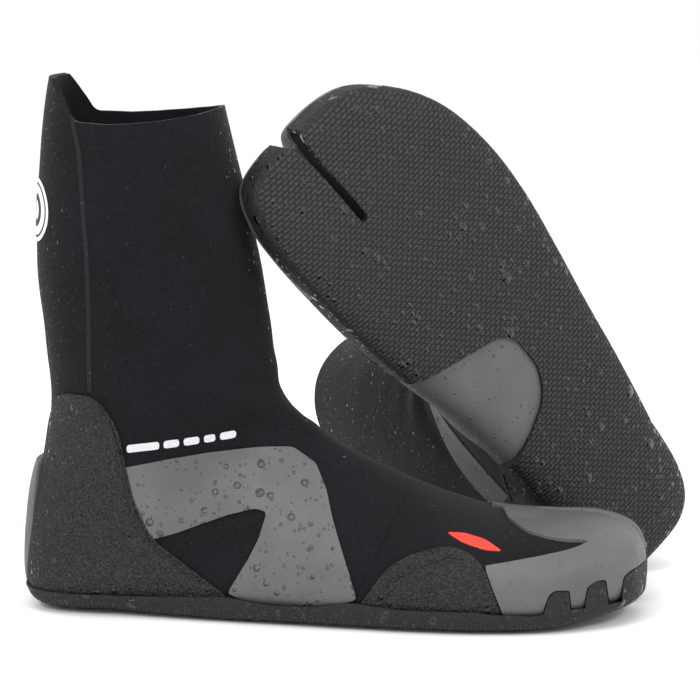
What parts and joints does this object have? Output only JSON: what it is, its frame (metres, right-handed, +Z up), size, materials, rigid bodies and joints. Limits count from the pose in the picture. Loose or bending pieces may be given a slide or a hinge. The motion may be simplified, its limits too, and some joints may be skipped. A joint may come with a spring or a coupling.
{
  "type": "neoprene boots",
  "caption": "Pair of split-toe neoprene water boots with tall legs, grippy rubber soles, heel counters and grey printed toe and arch panels; one stands and the other leans on it.",
  "frame": {"origin": "middle of the pair's box, on the ground", "axes": "+Z up, +X from the standing boot's heel to its toes, +Y away from the standing boot's outer side; the standing boot is turned 6 degrees to it"},
  "size_m": [0.313, 0.352, 0.246],
  "materials": {
    "neoprene": "matte jersey",
    "seam_tape": "matte knit",
    "footbed_knit": "matte knit",
    "sole_rubber": "ribbed matte",
    "counter_rubber": "pebbled matte",
    "grey_panel": "satin",
    "badge_print": "satin",
    "pale_print": "satin",
    "red_print": "satin"
  },
  "bodies": {
    "right_foot": {"right_ankle_panel": "neoprene", "right_heel_cup_panel": "neoprene", "right_instep_panel": "neoprene", "right_vamp_panel": "neoprene", "right_footbed": "footbed_knit", "right_outsole": "sole_rubber", "right_heel_panel": "grey_panel", "right_outer_heel_counter": "counter_rubber", "right_inner_heel_counter": "counter_rubber", "right_outer_arch_panel": "grey_panel", "right_inner_arch_panel": "grey_panel", "right_outer_forefoot_rand": "counter_rubber", "right_inner_forefoot_rand": "counter_rubber", "right_side_print": "pale_print", "right_toe_mark": "red_print"},
    "right_leg": {"right_rear_leg_panel": "neoprene", "right_front_leg_panel": "neoprene", "right_outer_leg_seam": "seam_tape", "right_inner_leg_seam": "seam_tape", "right_heel_badge": "badge_print"},
    "right_toes": {"right_four_toe_pocket": "neoprene", "right_big_toe_pocket": "neoprene", "right_four_toe_cap": "grey_panel", "right_big_toe_cap": "grey_panel"},
    "left_foot": {"left_ankle_panel": "neoprene", "left_heel_cup_panel": "neoprene", "left_instep_panel": "neoprene", "left_vamp_panel": "neoprene", "left_footbed": "footbed_knit", "left_outsole": "sole_rubber", "left_heel_panel": "grey_panel", "left_outer_heel_counter": "counter_rubber", "left_inner_heel_counter": "counter_rubber", "left_outer_arch_panel": "grey_panel", "left_inner_arch_panel": "grey_panel", "left_outer_forefoot_rand": "counter_rubber", "left_inner_forefoot_rand": "counter_rubber", "left_side_print": "pale_print", "left_toe_mark": "red_print"},
    "left_leg": {"left_rear_leg_panel": "neoprene", "left_front_leg_panel": "neoprene", "left_outer_leg_seam": "seam_tape", "left_inner_leg_seam": "seam_tape", "left_heel_badge": "badge_print"},
    "left_toes": {"left_four_toe_pocket": "neoprene", "left_big_toe_pocket": "neoprene", "left_four_toe_cap": "grey_panel", "left_big_toe_cap": "grey_panel"}
  },
  "joints": [
    {"name": "right_ankle_flex", "type": "hinge", "parent": "right_foot", "child": "right_leg", "pos_m": [-0.08732, -0.10446, 0.088], "axis": [0.1045, 0.9945, 0], "range_deg": [-18, 0], "stiffness_Nm_per_rad": 3, "deforming": ["right_ankle_panel"]},
    {"name": "right_toe_bend", "type": "hinge", "parent": "right_foot", "child": "right_toes", "pos_m": [0.04196, -0.11805, 0.0033], "axis": [-0.1045, -0.9945, 0], "range_deg": [0, 15], "stiffness_Nm_per_rad": 3, "deforming": ["right_vamp_panel", "right_outsole", "right_footbed", "right_outer_forefoot_rand", "right_inner_forefoot_rand", "right_toe_mark"]},
    {"name": "left_ankle_flex", "type": "hinge", "parent": "left_foot", "child": "left_leg", "pos_m": [0.0684, 0.01562, 0.06291], "axis": [0.6685, 0.3554, 0.6533], "range_deg": [-18, 22], "stiffness_Nm_per_rad": 3, "deforming": ["left_ankle_panel"]},
    {"name": "left_toe_bend", "type": "hinge", "parent": "left_foot", "child": "left_toes", "pos_m": [0.03407, -0.09975, 0.16082], "axis": [-0.6685, -0.3554, -0.6533], "range_deg": [-20, 0], "stiffness_Nm_per_rad": 3, "deforming": ["left_vamp_panel", "left_outsole", "left_footbed", "left_outer_forefoot_rand", "left_inner_forefoot_rand", "left_toe_mark"]},
    {"name": "left_boot_slide", "type": "slide", "parent": "right_foot", "child": "left_foot", "axis": [1, 0, 0], "range_m": [0, 0.2]}
  ]
}
